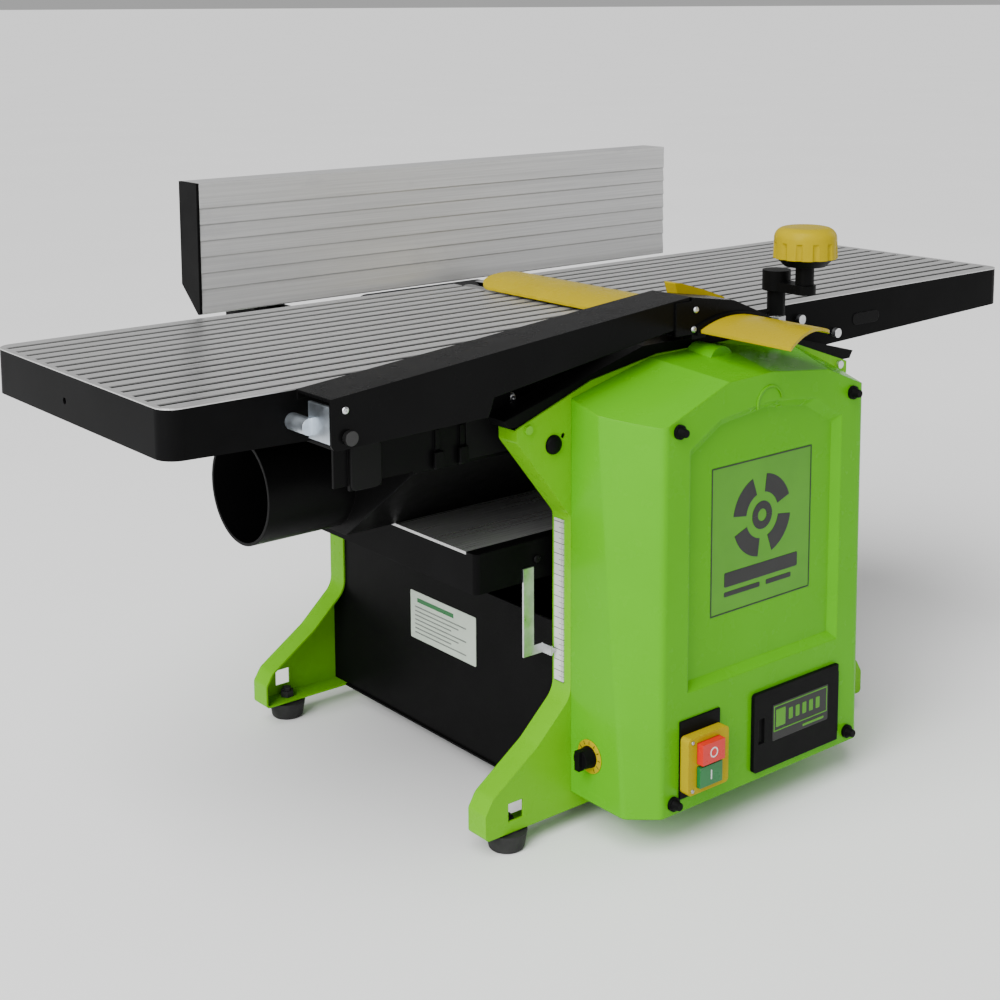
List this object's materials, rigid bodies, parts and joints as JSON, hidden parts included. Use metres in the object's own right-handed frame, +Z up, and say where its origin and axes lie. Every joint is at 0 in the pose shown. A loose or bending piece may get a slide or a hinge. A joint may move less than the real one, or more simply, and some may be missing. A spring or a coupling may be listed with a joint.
{
  "type": "planer thicknesser",
  "caption": "bench-top planer thicknesser with surfacing tables, tilting fence, bridge guard, dust hood and crank-driven thicknessing bed",
  "frame": {"origin": "on the bench under the cutter axis, midway across the tables", "axes": "+X along the tables to the infeed end, +Y away from the operator to the fence, +Z up"},
  "size_m": [1.07, 0.656, 0.576],
  "materials": {
    "green_paint": "glossy",
    "green_plastic": "glossy moulded",
    "black_paint": "satin",
    "black_cast": "painted",
    "black_plastic": "textured",
    "yellow_plastic": "glossy moulded",
    "yellow_paint": "glossy",
    "table_aluminium": "milled grooves",
    "fence_aluminium": "anodised",
    "cast_bed": "ground top",
    "steel": "machined",
    "zinc": "zinc plated",
    "bronze": "sintered",
    "rubber": "matt",
    "belt_rubber": "ribbed",
    "red_plastic": "glossy",
    "start_green": "glossy",
    "scale_film": "printed film",
    "roller_steel": "fluted"
  },
  "bodies": {
    "frame": {"base_panels": "black_paint", "base_tray": "black_paint", "cable_gland": "black_plastic", "cover_screws": "black_plastic", "cutter_bearings": "steel", "drive_belt": "belt_rubber", "drive_cover": "green_plastic", "far_arch_bracket": "black_cast", "far_side_plate": "green_paint", "feed_chain": "steel", "feed_gearbox": "black_plastic", "fence_base": "black_paint", "guard_clamp": "zinc", "lift_chain": "steel", "motor": "black_paint", "near_arch_bracket": "black_cast", "near_side_plate": "green_paint", "outfeed_table": "table_aluminium", "rear_cover": "black_plastic", "rubber_feet": "rubber", "scale_strip": "scale_film", "screw_bushes": "bronze", "switch_housing": "yellow_plastic", "switch_plate": "black_plastic", "table_bolts": "zinc"},
    "cutter": {"cutter_block": "steel", "knives": "steel", "knife_wedges": "table_aluminium", "cutter_pulley": "steel"},
    "motor_rotor": {"motor_pulley": "steel"},
    "infeed_roll": {"infeed_roller": "roller_steel"},
    "outfeed_roll": {"outfeed_roller": "roller_steel"},
    "feed_drive": {"feed_drive_sprocket": "steel"},
    "infeed_bed": {"infeed_table": "table_aluminium", "infeed_table_bolts": "zinc"},
    "depth_dial": {"depth_knob": "black_plastic"},
    "thicknessing_bed": {"thickness_table": "cast_bed", "thickness_pointer": "zinc"},
    "crank": {"crank_screw": "steel", "crank_arm": "black_cast"},
    "crank_grip": {"crank_knob_skirt": "black_plastic", "crank_knob_cap": "yellow_plastic"},
    "screw_near_outfeed": {"lift_screw_near_outfeed": "steel"},
    "screw_far_outfeed": {"lift_screw_far_outfeed": "steel"},
    "screw_far_infeed": {"lift_screw_far_infeed": "steel"},
    "hood": {"dust_hood": "black_plastic"},
    "guard_arm_body": {"guard_arm": "black_paint", "guard_carriage": "black_plastic"},
    "guard_blade_body": {"guard_blade": "yellow_paint"},
    "guard_lever": {"blade_lock_lever": "yellow_plastic"},
    "fence_slide_body": {"fence_carrier": "black_paint"},
    "fence_body": {"fence": "fence_aluminium", "fence_end_cap": "black_plastic"},
    "tilt_lever": {"fence_tilt_lever": "black_plastic"},
    "slide_lever": {"fence_lock_lever": "black_plastic"},
    "stop": {"stop_button": "red_plastic"},
    "start": {"start_button": "start_green"},
    "feed_selector": {"feed_selector_knob": "black_plastic"},
    "door": {"access_door": "black_plastic"},
    "fingers": {"kickback_fingers": "steel"}
  },
  "joints": [
    {"name": "cutter_spin", "type": "hinge", "parent": "frame", "child": "cutter", "pos_m": [0, 0, 0.419], "axis": [0, 1, 0], "continuous": true},
    {"name": "motor_spin", "type": "hinge", "parent": "frame", "child": "motor_rotor", "pos_m": [0, 0, 0.105], "axis": [0, 1, 0], "continuous": true},
    {"name": "infeed_roller_spin", "type": "hinge", "parent": "frame", "child": "infeed_roll", "pos_m": [0.05, 0, 0.408], "axis": [0, 1, 0], "continuous": true},
    {"name": "outfeed_roller_spin", "type": "hinge", "parent": "frame", "child": "outfeed_roll", "pos_m": [-0.05, 0, 0.408], "axis": [0, 1, 0], "continuous": true},
    {"name": "feed_drive_spin", "type": "hinge", "parent": "frame", "child": "feed_drive", "pos_m": [0, 0, 0.35], "axis": [0, 1, 0], "continuous": true},
    {"name": "depth_knob_turn", "type": "hinge", "parent": "infeed_bed", "child": "depth_dial", "pos_m": [0.25, 0, 0.419], "axis": [0, 1, 0], "range_deg": [0, 270.1]},
    {"name": "infeed_table_drop", "type": "slide", "parent": "frame", "child": "infeed_bed", "axis": [0, 0, -1], "range_m": [0, 0.003]},
    {"name": "crank_turn", "type": "hinge", "parent": "frame", "child": "crank", "pos_m": [0.128, -0.18, 0], "axis": [0, 0, 1], "range_deg": [0, 2881]},
    {"name": "crank_knob_spin", "type": "hinge", "parent": "crank", "child": "crank_grip", "pos_m": [0.128, -0.216, 0], "axis": [0, 0, 1], "continuous": true},
    {"name": "screw_near_outfeed_turn", "type": "hinge", "parent": "frame", "child": "screw_near_outfeed", "pos_m": [-0.128, -0.18, 0], "axis": [0, 0, 1], "range_deg": [0, 2881]},
    {"name": "screw_far_outfeed_turn", "type": "hinge", "parent": "frame", "child": "screw_far_outfeed", "pos_m": [-0.128, 0.18, 0], "axis": [0, 0, 1], "range_deg": [0, 2881]},
    {"name": "screw_far_infeed_turn", "type": "hinge", "parent": "frame", "child": "screw_far_infeed", "pos_m": [0.128, 0.18, 0], "axis": [0, 0, 1], "range_deg": [0, 2881]},
    {"name": "thickness_table_lower", "type": "slide", "parent": "frame", "child": "thicknessing_bed", "axis": [0, 0, -1], "range_m": [0, 0.032]},
    {"name": "hood_slide_out", "type": "slide", "parent": "frame", "child": "hood", "axis": [-1, 0, 0], "range_m": [0, 0.38]},
    {"name": "guard_arm_raise", "type": "hinge", "parent": "frame", "child": "guard_arm_body", "pos_m": [-0.405, -0.215, 0.4135], "axis": [0, -1, 0], "range_deg": [0, 9]},
    {"name": "guard_blade_slide", "type": "slide", "parent": "guard_arm_body", "child": "guard_blade_body", "axis": [0, -1, 0], "range_m": [0, 0.15]},
    {"name": "blade_lock_turn", "type": "hinge", "parent": "guard_arm_body", "child": "guard_lever", "pos_m": [0.014, -0.17, 0.467], "axis": [0, -1, 0], "range_deg": [0, 50]},
    {"name": "fence_slide", "type": "slide", "parent": "frame", "child": "fence_slide_body", "axis": [0, -1, 0], "range_m": [0, 0.045]},
    {"name": "fence_tilt", "type": "hinge", "parent": "fence_slide_body", "child": "fence_body", "pos_m": [-0.19, 0.19, 0.454], "axis": [-1, 0, 0], "range_deg": [0, 45]},
    {"name": "tilt_lever_turn", "type": "hinge", "parent": "fence_slide_body", "child": "tilt_lever", "pos_m": [-0.164, 0.238, 0.459], "axis": [1, 0, 0], "range_deg": [0, 40]},
    {"name": "slide_lever_turn", "type": "hinge", "parent": "frame", "child": "slide_lever", "pos_m": [-0.216, 0.24, 0.417], "axis": [1, 0, 0], "range_deg": [0, 75]},
    {"name": "stop_press", "type": "slide", "parent": "frame", "child": "stop", "axis": [0, 1, 0], "range_m": [0, 0.004], "stiffness_N_per_m": 600},
    {"name": "start_press", "type": "slide", "parent": "frame", "child": "start", "axis": [0, 1, 0], "range_m": [0, 0.003], "stiffness_N_per_m": 600},
    {"name": "feed_selector_turn", "type": "hinge", "parent": "frame", "child": "feed_selector", "pos_m": [-0.157, -0.222, 0.079], "axis": [-1, 0, 0], "range_deg": [0, 90]},
    {"name": "door_open", "type": "hinge", "parent": "frame", "child": "door", "pos_m": [0.1, -0.2903, 0.083], "axis": [0, 0, 1], "range_deg": [0, 100]},
    {"name": "kickback_swing", "type": "hinge", "parent": "frame", "child": "fingers", "pos_m": [-0.11, 0, 0.419], "axis": [0, -1, 0], "range_deg": [0, 35]}
  ],
  "couplings": [
    {"joint": "motor_spin", "follows": "cutter_spin", "ratio": 0.43478},
    {"joint": "infeed_roller_spin", "follows": "outfeed_roller_spin", "ratio": 1},
    {"joint": "feed_drive_spin", "follows": "outfeed_roller_spin", "ratio": 1.1538},
    {"joint": "depth_knob_turn", "follows": "infeed_table_drop", "rad_per_m": 1570.8},
    {"joint": "crank_turn", "follows": "thickness_table_lower", "rad_per_m": 1570.8},
    {"joint": "screw_near_outfeed_turn", "follows": "thickness_table_lower", "rad_per_m": 1570.8},
    {"joint": "screw_far_outfeed_turn", "follows": "thickness_table_lower", "rad_per_m": 1570.8},
    {"joint": "screw_far_infeed_turn", "follows": "thickness_table_lower", "rad_per_m": 1570.8}
  ]
}
